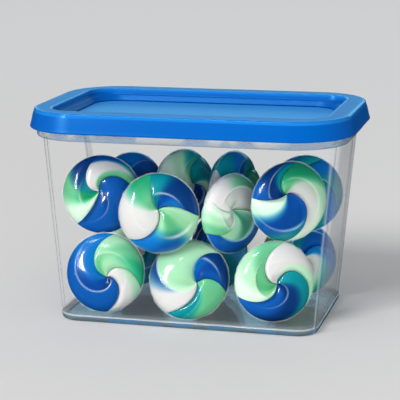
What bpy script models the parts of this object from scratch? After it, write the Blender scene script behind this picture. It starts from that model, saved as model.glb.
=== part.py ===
# Clear plastic tub with a blue lift-off lid, holding three-chamber laundry pods.
# Metres, +Z up, front towards -Y, origin at the middle of the underside.
# The tub and the lid are skinned through rounded-rectangle loops. Each pod is a film rim
# round three domed chambers that swirl out from its middle, and it is seated by sliding it
# down and towards the front or back wall until it rests against the tub and the pods that
# are already in.

import math

import bmesh
import bpy
import numpy as np
from mathutils import Matrix

MM = 0.001

# Tub
BASE_WIDTH = 145.0 * MM
BASE_DEPTH = 88.0 * MM
BASE_CORNER = 12.0 * MM
SHOULDER_WIDTH = 166.8 * MM
SHOULDER_DEPTH = 99.6 * MM
SHOULDER_CORNER = 26.0 * MM
SHOULDER_HEIGHT = 102.3 * MM
TUB_WALL = 1.5 * MM
FLOOR_THICKNESS = 2.4 * MM
FLOOR_FILLET = 3.0 * MM
FOOT_HEIGHT = 3.2 * MM
FOOT_PROUD = 0.4 * MM
BASE_EDGE = 1.4 * MM
BAND_PROUD = 2.9 * MM
BAND_HEIGHT = 4.1 * MM
BAND_EDGE = 0.5 * MM
COLLAR_INSET = 0.9 * MM
COLLAR_HEIGHT = 13.1 * MM
SMALLEST_CORNER = 1.0 * MM

# Lid
LID_OVERHANG = 3.7 * MM
LID_HEIGHT = 10.6 * MM
LID_DRAFT = 2.4 * MM
LID_WALL = 1.6 * MM
LID_EDGE = 1.3 * MM
RIM_WIDTH = 11.7 * MM
RECESS_CORNER = 13.0 * MM
RECESS_DEPTH = 6.5 * MM
LEDGE_DEPTH = 3.2 * MM
LEDGE_WIDTH = 3.0 * MM
RECESS_DRAFT = 0.4 * MM
RECESS_EDGE = 0.7 * MM
SEAL_WALL = 1.2 * MM
SEAL_DEPTH = 6.0 * MM
FIT_GAP = 0.3 * MM

# Pod, as large as the tub has room for: so many side by side, front to back, and up
SIDE_BY_SIDE_AT_BASE = 3.404
FRONT_TO_BACK_AT_BASE = 2.066
SIDE_BY_SIDE_AT_SHOULDER = 3.915
FRONT_TO_BACK_AT_SHOULDER = 2.338
ONE_ON_ANOTHER_TO_SHOULDER = 2.4
POD_DIAMETER = min(
    BASE_WIDTH / SIDE_BY_SIDE_AT_BASE,
    BASE_DEPTH / FRONT_TO_BACK_AT_BASE,
    SHOULDER_WIDTH / SIDE_BY_SIDE_AT_SHOULDER,
    SHOULDER_DEPTH / FRONT_TO_BACK_AT_SHOULDER,
    SHOULDER_HEIGHT / ONE_ON_ANOTHER_TO_SHOULDER,
)
POD_PLUMPNESS = 0.587
POD_THICKNESS = POD_PLUMPNESS * POD_DIAMETER
FILM_RIM_WIDTH = 1.3 * MM
FILM_RIM_THICKNESS = 0.8 * MM
CHAMBER_GAP = 0.3 * MM
CHAMBER_EDGE = 1.0 * MM
SEAM_DEPTH = 0.3
SEAM_SHARPNESS = 2.5
HUB_RADIUS = 1.0 * MM
HUB_DIMPLE = 0.25
HUB_DIMPLE_RADIUS = 4.3 * MM

# Seating the pods
SEAT_GAP = 0.3 * MM
SEAT_DIRECTIONS = 1600
SEAT_ROUNDS = 6
SEAT_NUDGES = 20
SEAT_NUDGE = 0.97
ROW_HEIGHTS = {"low": 24.0 * MM, "high": 65.0 * MM}
WALL_SIDES = {"front": -1.0, "back": 1.0}
FIRST_SLIDE = 2.0 * MM
LAST_SLIDE = 0.01 * MM

CORNER_STEPS = 8
RADIAL_STEPS = 5
AROUND_STEPS = 16
RIM_STEPS = 24
FULL_TURN_DEGREES = 360
FILLET_SHARES = (0.0, 0.33, 0.67, 1.0)

CLEAR = (0.80, 0.86, 0.90, 1.0)
LID_BLUE = (0.003, 0.14, 0.60, 1.0)
FILM = (0.85, 0.90, 0.92, 1.0)
GELS = {
    "blue": (0.005, 0.06, 0.42, 1.0),
    "green": (0.10, 0.52, 0.20, 1.0),
    "white": (0.80, 0.79, 0.76, 1.0),
}

# Each pod, in the order in which it goes into the tub. across is its place from the tub's
# middle as a share of the half width, and back its place behind the front wall as a share
# of the depth, both at its row's height. wall is the one that it is pushed towards. lean
# tips the face back and yaw turns it to the side. hub is where the chambers meet, right of
# the pod's middle and above it, as shares of its radius. chambers goes clockwise round the
# face: each one's colour, then its first seam: the seam's angle at the rim in degrees
# anticlockwise from the pod's right, how far it twists between rim and hub, and its curl,
# which is higher where the twist comes late.
PODS = [
    {"number": 5, "row": "low", "wall": "front", "across": -0.640, "back": 0.247, "lean": 15, "yaw": 6,
     "hub": (0.10, -0.11),
     "chambers": (("green", 78, 90, 1.0), ("white", -22, 85, 1.0), ("blue", -85, 80, 1.0))},
    {"number": 6, "row": "low", "wall": "front", "across": 0.000, "back": 0.247, "lean": 24, "yaw": 6,
     "hub": (0.25, -0.12),
     "chambers": (("blue", 42, 70, 1.0), ("green", -17, 40, 1.0), ("white", -120, 55, 1.0))},
    {"number": 7, "row": "low", "wall": "front", "across": 0.633, "back": 0.247, "lean": 6, "yaw": 26,
     "hub": (-0.02, 0.0),
     "chambers": (("blue", -45, 105, 2.0), ("green", -162, 65, 1.0), ("white", -285, 100, 1.0))},
    {"number": 8, "row": "low", "wall": "back", "across": -0.613, "back": 0.750, "lean": 8, "yaw": 52,
     "hub": (0.05, 0.06),
     "chambers": (("blue", 40, 90, 1.0), ("green", -80, 80, 1.0), ("white", -200, 95, 1.0))},
    {"number": 9, "row": "low", "wall": "back", "across": 0.027, "back": 0.750, "lean": 6, "yaw": -34,
     "hub": (-0.08, 0.04),
     "chambers": (("blue", 150, 85, 1.0), ("green", 20, 95, 1.0), ("white", -95, 90, 1.0))},
    {"number": 10, "row": "low", "wall": "back", "across": 0.740, "back": 0.750, "lean": 20, "yaw": 24,
     "hub": (0.06, -0.05),
     "chambers": (("blue", 130, 90, 1.0), ("white", -5, 80, 1.0), ("green", -110, 90, 1.0))},
    {"number": 2, "row": "high", "wall": "front", "across": -0.201, "back": 0.214, "lean": 4, "yaw": 8,
     "hub": (0.03, 0.13),
     "chambers": (("blue", 100, 15, 1.0), ("green", -3, 60, 0.5), ("white", -140, 70, 1.0))},
    {"number": 1, "row": "high", "wall": "front", "across": -0.667, "back": 0.310, "lean": 5, "yaw": 10,
     "hub": (-0.02, 0.11),
     "chambers": (("white", 93, 80, 1.0), ("blue", -20, 105, 2.0), ("green", -130, 20, 1.0))},
    {"number": 3, "row": "high", "wall": "front", "across": 0.264, "back": 0.360, "lean": 2, "yaw": 62,
     "hub": (-0.33, 0.18),
     "chambers": (("green", 200, 65, 1.0), ("white", 150, 30, 1.0), ("blue", -20, 25, 1.0))},
    {"number": 4, "row": "high", "wall": "front", "across": 0.667, "back": 0.310, "lean": 0, "yaw": 36,
     "hub": (-0.19, 0.27),
     "chambers": (("blue", 170, 15, 1.0), ("green", 82, 70, 1.0), ("blue", -100, 125, 1.0))},
    {"number": 14, "row": "high", "wall": "back", "across": 0.680, "back": 0.580, "lean": 6, "yaw": 25,
     "hub": (-0.05, 0.05),
     "chambers": (("blue", 60, 90, 1.0), ("white", -70, 80, 1.0), ("green", -180, 90, 1.0))},
    {"number": 11, "row": "high", "wall": "back", "across": -0.579, "back": 0.650, "lean": 6, "yaw": 50,
     "hub": (0.05, -0.04),
     "chambers": (("blue", 170, 85, 1.0), ("white", 10, 90, 1.0), ("green", -100, 95, 1.0))},
    {"number": 12, "row": "high", "wall": "back", "across": -0.200, "back": 0.720, "lean": 8, "yaw": 60,
     "hub": (0.04, 0.08),
     "chambers": (("green", 160, 90, 1.0), ("white", 40, 90, 1.0), ("blue", -80, 80, 1.0))},
    {"number": 13, "row": "high", "wall": "back", "across": 0.176, "back": 0.700, "lean": 6, "yaw": 70,
     "hub": (-0.06, 0.05),
     "chambers": (("blue", 140, 95, 1.0), ("green", 10, 85, 1.0), ("white", -110, 90, 1.0))},
]


def clear_scene():
    for item in list(bpy.data.objects):
        bpy.data.objects.remove(item, do_unlink=True)


def make_material(name, colour, roughness, alpha=1.0):
    material = bpy.data.materials.new(name)
    material.use_nodes = True
    shader = material.node_tree.nodes["Principled BSDF"]
    shader.inputs["Base Color"].default_value = colour
    shader.inputs["Roughness"].default_value = roughness
    shader.inputs["Metallic"].default_value = 0.0
    shader.inputs["Alpha"].default_value = alpha
    return material


def add_object(name, bm, material, sharp_angle=40):
    mesh = bpy.data.meshes.new(name)
    bm.to_mesh(mesh)
    bm.free()
    mesh.shade_smooth()
    mesh.set_sharp_from_angle(angle=math.radians(sharp_angle))
    mesh.materials.append(material)
    item = bpy.data.objects.new(name, mesh)
    bpy.context.collection.objects.link(item)
    return item


def finish_solid(bm):
    """Triangles that point outwards, whichever way round the solid was wound."""
    bmesh.ops.triangulate(bm, faces=bm.faces[:])
    if bm.calc_volume(signed=True) < 0:
        bmesh.ops.reverse_faces(bm, faces=bm.faces[:])
    return bm


def rounded_rectangle(outline, inset, height):
    """Points of a loop, anticlockwise from above, moved in by inset at the given height."""
    width, depth, corner = outline
    half_width = width / 2 - inset
    half_depth = depth / 2 - inset
    radius = max(corner - inset, SMALLEST_CORNER)
    points = []
    for quarter in range(4):
        side_x = (1, -1, -1, 1)[quarter]
        side_y = (1, 1, -1, -1)[quarter]
        centre_x = side_x * (half_width - radius)
        centre_y = side_y * (half_depth - radius)
        for step in range(CORNER_STEPS + 1):
            angle = math.radians(90) * (quarter + step / CORNER_STEPS)
            x = centre_x + radius * math.cos(angle)
            y = centre_y + radius * math.sin(angle)
            points.append((x, y, height))
    return points


def skin_loops(loops):
    """Closed solid through a row of loops, with its first and last loop capped."""
    bm = bmesh.new()
    rings = [[bm.verts.new(point) for point in loop] for loop in loops]
    count = len(rings[0])
    for lower, upper in zip(rings, rings[1:]):
        for i in range(count):
            j = (i + 1) % count
            bm.faces.new((lower[i], lower[j], upper[j], upper[i]))
    bm.faces.new(list(reversed(rings[0])))
    bm.faces.new(rings[-1])
    return finish_solid(bm)


def tub_outline(height):
    """The tapered wall's outer outline at a height, between the base and the shoulder."""
    share = height / SHOULDER_HEIGHT
    width = BASE_WIDTH + (SHOULDER_WIDTH - BASE_WIDTH) * share
    depth = BASE_DEPTH + (SHOULDER_DEPTH - BASE_DEPTH) * share
    corner = BASE_CORNER + (SHOULDER_CORNER - BASE_CORNER) * share
    return width, depth, corner


def band_outline():
    """The band's outer outline, which the collar and the whole lid are offset from."""
    return (
        SHOULDER_WIDTH + 2 * BAND_PROUD,
        SHOULDER_DEPTH + 2 * BAND_PROUD,
        SHOULDER_CORNER + BAND_PROUD,
    )


def build_tub(material):
    band = band_outline()
    band_top = SHOULDER_HEIGHT + BAND_HEIGHT
    rim_top = SHOULDER_HEIGHT + COLLAR_HEIGHT
    collar_inner = COLLAR_INSET + TUB_WALL
    inner_shoulder = SHOULDER_HEIGHT + 0.4 * TUB_WALL
    loops = []

    # Foot and outer wall
    for inset, height in (
        (BASE_EDGE, 0.0),
        (0.3 * BASE_EDGE, 0.3 * BASE_EDGE),
        (0.0, BASE_EDGE),
        (0.0, FOOT_HEIGHT - FOOT_PROUD),
        (FOOT_PROUD, FOOT_HEIGHT),
        (FOOT_PROUD, SHOULDER_HEIGHT - BAND_EDGE),
    ):
        loops.append(rounded_rectangle(tub_outline(height), inset, height))

    # Band under the lid, collar inside the lid, then the collar's inner side
    for inset, height in (
        (BAND_PROUD + FOOT_PROUD - 0.6 * BAND_EDGE, SHOULDER_HEIGHT),
        (BAND_EDGE, SHOULDER_HEIGHT),
        (0.0, SHOULDER_HEIGHT + BAND_EDGE),
        (0.0, band_top - BAND_EDGE),
        (0.3 * BAND_EDGE, band_top - 0.3 * BAND_EDGE),
        (COLLAR_INSET, band_top),
        (COLLAR_INSET, rim_top - 0.35 * TUB_WALL),
        (COLLAR_INSET + 0.3 * TUB_WALL, rim_top),
        (collar_inner - 0.3 * TUB_WALL, rim_top),
        (collar_inner, rim_top - 0.35 * TUB_WALL),
        (collar_inner, inner_shoulder + BAND_EDGE),
        (collar_inner + BAND_EDGE, inner_shoulder),
    ):
        loops.append(rounded_rectangle(band, inset, height))

    # Inner wall down to the floor, with the fillet all round the floor
    wall_inset = FOOT_PROUD + TUB_WALL
    loops.append(rounded_rectangle(tub_outline(SHOULDER_HEIGHT), wall_inset, inner_shoulder - BAND_EDGE))
    for share in FILLET_SHARES:
        angle = math.radians(90) * share
        height = FLOOR_THICKNESS + FLOOR_FILLET * (1 - math.sin(angle))
        inset = wall_inset + FLOOR_FILLET * (1 - math.cos(angle))
        loops.append(rounded_rectangle(tub_outline(height), inset, height))
    return add_object("tub", skin_loops(loops), material)


def build_lid(material):
    band = band_outline()
    rim_top = SHOULDER_HEIGHT + COLLAR_HEIGHT
    under_rim = rim_top + FIT_GAP
    top = under_rim + LID_WALL
    hem = top - LID_HEIGHT
    outer = (
        band[0] + 2 * LID_OVERHANG,
        band[1] + 2 * LID_OVERHANG,
        band[2] + LID_OVERHANG,
    )
    recess_inset = LID_DRAFT + RIM_WIDTH
    recess = (
        outer[0] - 2 * recess_inset,
        outer[1] - 2 * recess_inset,
        RECESS_CORNER,
    )
    floor_inset = LEDGE_WIDTH + 2 * RECESS_DRAFT
    floor = (
        recess[0] - 2 * floor_inset,
        recess[1] - 2 * floor_inset,
        RECESS_CORNER + LEDGE_WIDTH,
    )
    ledge = top - LEDGE_DEPTH
    bottom = top - RECESS_DEPTH
    seal_outer = COLLAR_INSET + TUB_WALL + FIT_GAP
    loops = []

    # Recess from the middle of its floor, up its two steps to the rim
    for outline, inset, height in (
        (floor, RECESS_EDGE, bottom),
        (floor, 0.2 * RECESS_EDGE, bottom + 0.4 * RECESS_EDGE),
        (floor, 0.0, bottom + RECESS_EDGE),
        (floor, -RECESS_DRAFT, ledge - RECESS_EDGE),
        (floor, -RECESS_DRAFT - RECESS_EDGE, ledge),
        (recess, RECESS_DRAFT + 0.4 * RECESS_EDGE, ledge),
        (recess, RECESS_DRAFT, ledge + 0.4 * RECESS_EDGE),
        (recess, 0.0, top - RECESS_EDGE),
        (recess, -0.3 * RECESS_EDGE, top - 0.3 * RECESS_EDGE),
        (recess, -RECESS_EDGE, top),
    ):
        loops.append(rounded_rectangle(outline, inset, height))

    # Rim's outer edge and the drafted skirt, down to its hem
    for inset, height in (
        (LID_DRAFT + 1.1 * LID_EDGE, top),
        (LID_DRAFT + 0.4 * LID_EDGE, top - 0.3 * LID_EDGE),
        (LID_DRAFT - 0.1 * LID_EDGE, top - LID_EDGE),
        (0.25 * LID_DRAFT, hem + 0.25 * LID_HEIGHT),
        (0.0, hem + 0.5 * LID_EDGE),
        (0.3 * LID_EDGE, hem),
        (LID_WALL - 0.2 * LID_EDGE, hem),
        (LID_WALL, hem + 0.5 * LID_EDGE),
        (LID_WALL + 0.25 * LID_DRAFT, hem + 0.25 * LID_HEIGHT),
        (LID_WALL + 0.9 * LID_DRAFT, under_rim),
    ):
        loops.append(rounded_rectangle(outer, inset, height))

    # Seal rib that plugs the tub's mouth, then the underside of the recess
    seal_bottom = under_rim - SEAL_DEPTH
    for inset, height in (
        (seal_outer, under_rim),
        (seal_outer, seal_bottom + 0.6 * SEAL_WALL),
        (seal_outer + 0.4 * SEAL_WALL, seal_bottom),
        (seal_outer + SEAL_WALL, seal_bottom),
        (seal_outer + SEAL_WALL, under_rim),
    ):
        loops.append(rounded_rectangle(band, inset, height))
    for outline, inset, height in (
        (recess, -LID_WALL, under_rim),
        (recess, RECESS_DRAFT - LID_WALL, ledge - LID_WALL),
        (floor, -LID_WALL - RECESS_DRAFT, ledge - LID_WALL),
        (floor, -LID_WALL, bottom - 0.5 * LID_WALL),
        (floor, -0.5 * LID_WALL, bottom - LID_WALL),
    ):
        loops.append(rounded_rectangle(outline, inset, height))
    return add_object("lid", skin_loops(loops), material)


def dome_height(x, z, hub_distance):
    """Half the pod's thickness at a point of its face, less the dimple at the hub."""
    share = math.hypot(x, z) / (POD_DIAMETER / 2)
    round_off = math.sqrt(max(0.0, 1 - share * share))
    dimple = HUB_DIMPLE * math.exp(-((hub_distance / HUB_DIMPLE_RADIUS) ** 2))
    return (POD_THICKNESS / 2) * round_off * (1 - dimple)


def seam_angle(seam, radius):
    """Direction of the seam between two chambers, which curls clockwise towards the rim."""
    rim_angle, twist, curl = seam
    share = radius / (POD_DIAMETER / 2)
    return math.radians(rim_angle + twist * (1 - share ** curl))


def seam_trim(seam, radius, hub):
    """Angle to take off a chamber at a seam, for half the gap measured square to the seam."""
    _, twist, curl = seam
    share = radius / (POD_DIAMETER / 2)
    turn = math.radians(twist) * curl * share ** curl
    crowding = 1 - math.hypot(*hub)
    return 0.5 * CHAMBER_GAP / radius * math.sqrt(1 + turn * turn) / crowding


def chamber_mesh(start, end, hub):
    """One domed chamber between two seams, its face towards -Y, as a closed solid."""
    bm = bmesh.new()
    outer = POD_DIAMETER / 2
    widest = max(seam_angle(start, r) - seam_angle(end, r) for r in (outer / 2, outer))
    across_steps = max(3, round(AROUND_STEPS * widest / math.radians(FULL_TURN_DEGREES)))
    front = []
    back = []
    for i in range(RADIAL_STEPS + 1):
        share = math.sin(math.radians(90) * i / RADIAL_STEPS)
        radius = HUB_RADIUS + (outer - HUB_RADIUS) * share
        first = seam_angle(start, radius) - seam_trim(start, radius, hub)
        last = seam_angle(end, radius) + seam_trim(end, radius, hub)
        front_row = []
        back_row = []
        for j in range(across_steps + 1):
            across = j / across_steps
            angle = first + (last - first) * across
            x = radius * math.cos(angle) + (outer - radius) * hub[0]
            z = radius * math.sin(angle) + (outer - radius) * hub[1]
            bulge = 1 - SEAM_DEPTH * abs(2 * across - 1) ** SEAM_SHARPNESS
            depth = max(dome_height(x, z, radius) * bulge, 0.5 * CHAMBER_EDGE)
            front_row.append(bm.verts.new((x, -depth, z)))
            back_row.append(bm.verts.new((x, depth, z)))
        front.append(front_row)
        back.append(back_row)
    for i in range(RADIAL_STEPS):
        for j in range(across_steps):
            bm.faces.new((front[i][j], front[i + 1][j], front[i + 1][j + 1], front[i][j + 1]))
            bm.faces.new((back[i][j], back[i][j + 1], back[i + 1][j + 1], back[i + 1][j]))
    edge = [(i, 0) for i in range(RADIAL_STEPS)]
    edge += [(RADIAL_STEPS, j) for j in range(across_steps)]
    edge += [(i, across_steps) for i in range(RADIAL_STEPS, 0, -1)]
    edge += [(0, j) for j in range(across_steps, 0, -1)]
    for k, (i, j) in enumerate(edge):
        m, n = edge[(k + 1) % len(edge)]
        bm.faces.new((front[i][j], back[i][j], back[m][n], front[m][n]))
    return finish_solid(bm)


def film_rim_mesh():
    """The film's sealed edge, a flat ring round the three chambers."""
    bm = bmesh.new()
    inner = POD_DIAMETER / 2 + CHAMBER_GAP
    outer = inner + FILM_RIM_WIDTH
    half = FILM_RIM_THICKNESS / 2
    rows = []
    for radius, depth in ((inner, -half), (outer, -half), (outer, half), (inner, half)):
        row = []
        for step in range(RIM_STEPS):
            angle = math.radians(FULL_TURN_DEGREES) * step / RIM_STEPS
            row.append(bm.verts.new((radius * math.cos(angle), depth, radius * math.sin(angle))))
        rows.append(row)
    for first, second in zip(rows, rows[1:] + rows[:1]):
        for i in range(RIM_STEPS):
            j = (i + 1) % RIM_STEPS
            bm.faces.new((first[i], first[j], second[j], second[i]))
    return finish_solid(bm)


def even_directions(count):
    """Directions spread evenly over a sphere, with the second half opposite the first."""
    golden = math.pi * (3 - math.sqrt(5))
    half = []
    for i in range(count // 2):
        z = (i + 0.5) / (count // 2)
        ring = math.sqrt(1 - z * z)
        half.append((ring * math.cos(golden * i), ring * math.sin(golden * i), z))
    half = np.array(half)
    return np.vstack((half, -half))


def inner_planes():
    """Outward normals and distances of the tub's inner walls and its floor."""
    wall_inset = FOOT_PROUD + TUB_WALL
    low = FLOOR_THICKNESS + FLOOR_FILLET
    lower = np.array(rounded_rectangle(tub_outline(low), wall_inset, low))
    upper = np.array(rounded_rectangle(tub_outline(SHOULDER_HEIGHT), wall_inset, SHOULDER_HEIGHT))
    normals = []
    distances = []
    for i in range(len(lower)):
        j = (i + 1) % len(lower)
        normal = np.cross(lower[j] - lower[i], upper[i] - lower[i])
        normal = normal / np.linalg.norm(normal)
        normals.append(normal)
        distances.append(min(normal @ lower[i], normal @ upper[i], normal @ upper[j]))
    normals.append(np.array((0.0, 0.0, -1.0)))
    distances.append(-FLOOR_THICKNESS)
    return np.array(normals), np.array(distances)


def reach(points, directions):
    """How far a set of points reaches along each direction."""
    return (points @ directions.T).max(axis=0)


def clearance(centre, pod, placed, walls, directions):
    """Smallest distance from a pod to the walls and to the pods that are in."""
    normals, distances = walls
    nearest = (distances - normals @ centre - pod["wall_reach"]).min()
    half = len(directions) // 2
    for other in placed:
        offset = other["centre"] - centre
        if np.linalg.norm(offset) > pod["radius"] + other["radius"] + 2 * SEAT_GAP:
            continue
        facing = np.roll(other["reach"], half)
        nearest = min(nearest, (directions @ offset - pod["reach"] - facing).max())
    return nearest


def slide_until_seated(centre, direction, pod, placed, walls, directions):
    """Move a pod along a direction until it would come nearer than the seating gap."""
    step = FIRST_SLIDE
    while step > LAST_SLIDE:
        moved = centre + direction * step
        if clearance(moved, pod, placed, walls, directions) >= SEAT_GAP:
            centre = moved
        else:
            step = step / 2
    return centre


def seat_pod(layout, points, placed, walls, directions):
    """Drop a pod along the walls' slope, pushing it to its wall whenever it can go."""
    pod = {
        "reach": reach(points, directions),
        "wall_reach": reach(points, walls[0]),
        "radius": np.linalg.norm(points, axis=1).max(),
    }
    row_height = ROW_HEIGHTS[layout["row"]]
    width, depth, _ = tub_outline(row_height)
    aim = np.array((layout["across"] * width / 2, (layout["back"] - 0.5) * depth, row_height))
    push = np.array((0.0, WALL_SIDES[layout["wall"]], 0.0))
    narrowing = (SHOULDER_WIDTH - BASE_WIDTH) / 2 / SHOULDER_HEIGHT
    slope = (SHOULDER_DEPTH - BASE_DEPTH) / 2 / SHOULDER_HEIGHT
    down = np.array((-layout["across"] * narrowing, 0.0, -1.0)) - slope * push
    drop = SHOULDER_HEIGHT + POD_DIAMETER - row_height
    centre = aim - drop * down
    down = down / np.linalg.norm(down)
    for _ in range(SEAT_NUDGES):
        if clearance(centre, pod, placed, walls, directions) >= SEAT_GAP:
            break
        centre = centre * np.array((SEAT_NUDGE, SEAT_NUDGE, 1.0))
    for _ in range(SEAT_ROUNDS):
        centre = slide_until_seated(centre, down, pod, placed, walls, directions)
        centre = slide_until_seated(centre, push, pod, placed, walls, directions)
    pod["centre"] = slide_until_seated(centre, down, pod, placed, walls, directions)
    placed.append(pod)
    return pod["centre"]


def build_pod(layout, materials, placed, walls, directions):
    number = layout["number"]
    chambers = layout["chambers"]
    turn = Matrix.Rotation(math.radians(layout["yaw"]), 4, "Z")
    tip = Matrix.Rotation(math.radians(-layout["lean"]), 4, "X")
    meshes = [("film", "film", film_rim_mesh())]
    for k, (colour, *start) in enumerate(chambers):
        _, *end = chambers[(k + 1) % 3]
        if end[0] > start[0]:
            end[0] -= FULL_TURN_DEGREES
        meshes.append((f"chamber_{k + 1}", colour, chamber_mesh(start, end, layout["hub"])))

    points = []
    for _, _, bm in meshes:
        bmesh.ops.transform(bm, matrix=turn @ tip, verts=bm.verts[:])
        points += [vert.co[:] for vert in bm.verts]
    centre = seat_pod(layout, np.array(points), placed, walls, directions)
    for name, colour, bm in meshes:
        item = add_object(f"pod_{number:02d}_{name}", bm, materials[colour])
        item.location = centre


def build_pods(materials):
    placed = []
    walls = inner_planes()
    directions = even_directions(SEAT_DIRECTIONS)
    for layout in PODS:
        build_pod(layout, materials, placed, walls, directions)


def main():
    clear_scene()
    clear = make_material("clear_polypropylene", CLEAR, 0.08, 0.3)
    blue = make_material("blue_polypropylene", LID_BLUE, 0.35)
    materials = {"film": make_material("clear_film", FILM, 0.1, 0.4)}
    for colour, value in GELS.items():
        materials[colour] = make_material(f"{colour}_gel", value, 0.15)
    build_tub(clear)
    build_lid(blue)
    build_pods(materials)


main()
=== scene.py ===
import math

import bmesh
import bpy
from mathutils import Matrix, Vector


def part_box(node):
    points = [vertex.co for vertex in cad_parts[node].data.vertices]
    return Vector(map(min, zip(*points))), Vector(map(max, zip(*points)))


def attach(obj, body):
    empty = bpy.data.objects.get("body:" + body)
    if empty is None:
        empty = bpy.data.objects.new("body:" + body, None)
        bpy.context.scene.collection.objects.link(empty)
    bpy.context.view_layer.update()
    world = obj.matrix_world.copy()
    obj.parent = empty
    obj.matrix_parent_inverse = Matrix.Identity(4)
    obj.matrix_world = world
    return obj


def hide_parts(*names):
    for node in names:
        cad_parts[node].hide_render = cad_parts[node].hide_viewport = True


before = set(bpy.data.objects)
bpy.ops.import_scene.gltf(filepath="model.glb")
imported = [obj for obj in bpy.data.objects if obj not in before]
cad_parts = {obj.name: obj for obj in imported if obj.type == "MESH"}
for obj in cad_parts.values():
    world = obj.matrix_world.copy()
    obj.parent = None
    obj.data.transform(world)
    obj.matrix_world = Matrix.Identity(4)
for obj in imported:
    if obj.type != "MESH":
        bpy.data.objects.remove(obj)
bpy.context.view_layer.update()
mm = 0.001
fullTurn = 360
smallestCorner = 0.6

# kinds of node and settings that many places share
mathKind = "ShaderNodeMath"
mixKind = "ShaderNodeMix"
rangeKind = "ShaderNodeMapRange"
noiseKind = "ShaderNodeTexNoise"
attributeKind = "ShaderNodeAttribute"
placeKind = "ShaderNodeTexCoord"
facingKind = "ShaderNodeLayerWeight"
bumpKind = "ShaderNodeBump"
vectorKind = "ShaderNodeVectorMath"
combineKind = "ShaderNodeCombineXYZ"
mixColour = {"data_type": "RGBA"}
mixVector = {"data_type": "VECTOR"}
smoothStep = {"interpolation_type": "SMOOTHSTEP"}
smootherStep = {"interpolation_type": "SMOOTHERSTEP"}
seeded = {"noise_dimensions": "4D"}
add, subtract, multiply, divide, power = (
    {"operation": name} for name in ("ADD", "SUBTRACT", "MULTIPLY", "DIVIDE", "POWER")
)
sine, cosine, exponent, maximum, scaled = (
    {"operation": name} for name in ("SINE", "COSINE", "EXPONENT", "MAXIMUM", "SCALE")
)


def hexToLinear(colour):
    # sRGB hex, as a picture editor shows it, to the linear values that nodes take
    channels = []
    for i in (1, 3, 5):
        value = int(colour[i : i + 2], 16) / 255
        channels.append(value / 12.92 if value <= 0.04045 else ((value + 0.055) / 1.055) ** 2.4)
    return (*channels, 1.0)


def setInputs(node, links):
    # links: input name or number -> a plain value, an output, or a node (its first output);
    # a list fills the inputs in their order
    for key, value in links.items() if isinstance(links, dict) else enumerate(links):
        socket = node.inputs[key]
        if isinstance(value, bpy.types.Node):
            value = value.outputs[0]
        if isinstance(value, bpy.types.NodeSocket):
            node.id_data.links.new(value, socket)
        else:
            socket.default_value = value


def addNode(tree, kind, settings=None, links=None):
    node = tree.nodes.new(kind)
    for key, value in (settings or {}).items():
        setattr(node, key, value)
    setInputs(node, links or {})
    return node


def startMaterial(name):
    material = bpy.data.materials.new(name)
    material.use_nodes = True
    tree = material.node_tree
    tree.nodes.clear()
    shader = addNode(tree, "ShaderNodeBsdfPrincipled")
    addNode(tree, "ShaderNodeOutputMaterial", None, {"Surface": shader})
    return material, tree, shader


def pieceFromMesh(name, mesh, material, sharpAngle=50):
    mesh.shade_smooth()
    mesh.set_sharp_from_angle(angle=math.radians(sharpAngle))
    mesh.materials.clear()
    mesh.materials.append(material)
    piece = bpy.data.objects.new(name, mesh)
    bpy.context.scene.collection.objects.link(piece)
    return piece


# Camera, floor and light

cameraValues = {
    "azimuth": 14.846,
    "elevation": 12.56,
    "distance": 841.9,
    "aimAcross": -1.279,
    "aimHeight": 62.055,
    "roll": -0.448,
    "lens": 134.94,
    "sensorWidth": 36.0,
    "clip": (50.0, 50000.0),
}

sunValues = {
    "direction": (-0.66, -0.95, 0.85),
    "strength": 2.05,
    "softness": 26.0,
    "colour": "#FFFFFF",
}

lightValues = {
    # name: place, aim, width, height (mm), power (W), colour, what it reaches
    "stripLeft": ((-760, -900, 640), (0, 0, 60), 240, 620, 24.0, "#FFFFFF", "gloss"),
    "backCard": ((-300, 2600, 760), (0, 0, 110), 2600, 700, 10.0, "#94DFFF", "gloss"),
    "topCard": ((-420, -420, 1300), (0, 0, 100), 800, 420, 22.0, "#E4F4FF", "gloss"),
    "frontFill": ((750, -1750, 300), (0, 0, 70), 1500, 500, 16.0, "#FFFFFF", "diffuse"),
}

stageValues = {
    "floorRadius": 4000.0,
    "floorSteps": 96,
    "floorColour": "#E2E0DF",
    "floorRoughness": 0.75,
    "floorSpecular": 0.25,
    "worldColour": "#D6D6D6",
    "worldStrength": 0.68,
    # how many clear faces a ray may pass through
    "clearLayers": 40,
}


def placeCamera(values):
    azimuth = math.radians(values["azimuth"])
    elevation = math.radians(values["elevation"])
    roll = math.radians(values["roll"])
    back = Vector(
        (
            math.sin(azimuth) * math.cos(elevation),
            -math.cos(azimuth) * math.cos(elevation),
            math.sin(elevation),
        )
    )
    right = Vector((math.cos(azimuth), math.sin(azimuth), 0))
    up = back.cross(right)
    aim = right * values["aimAcross"] * mm + Vector((0, 0, values["aimHeight"] * mm))
    axisX = right * math.cos(roll) + up * math.sin(roll)
    axisY = up * math.cos(roll) - right * math.sin(roll)
    data = bpy.data.cameras.new("camera")
    data.lens = values["lens"]
    data.sensor_width = values["sensorWidth"]
    near, far = values["clip"]
    data.clip_start = near * mm
    data.clip_end = far * mm
    camera = bpy.data.objects.new("camera", data)
    turn = Matrix((axisX, axisY, back)).transposed().to_4x4()
    camera.matrix_world = Matrix.Translation(aim + back * values["distance"] * mm) @ turn
    bpy.context.scene.collection.objects.link(camera)
    bpy.context.scene.camera = camera


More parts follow.
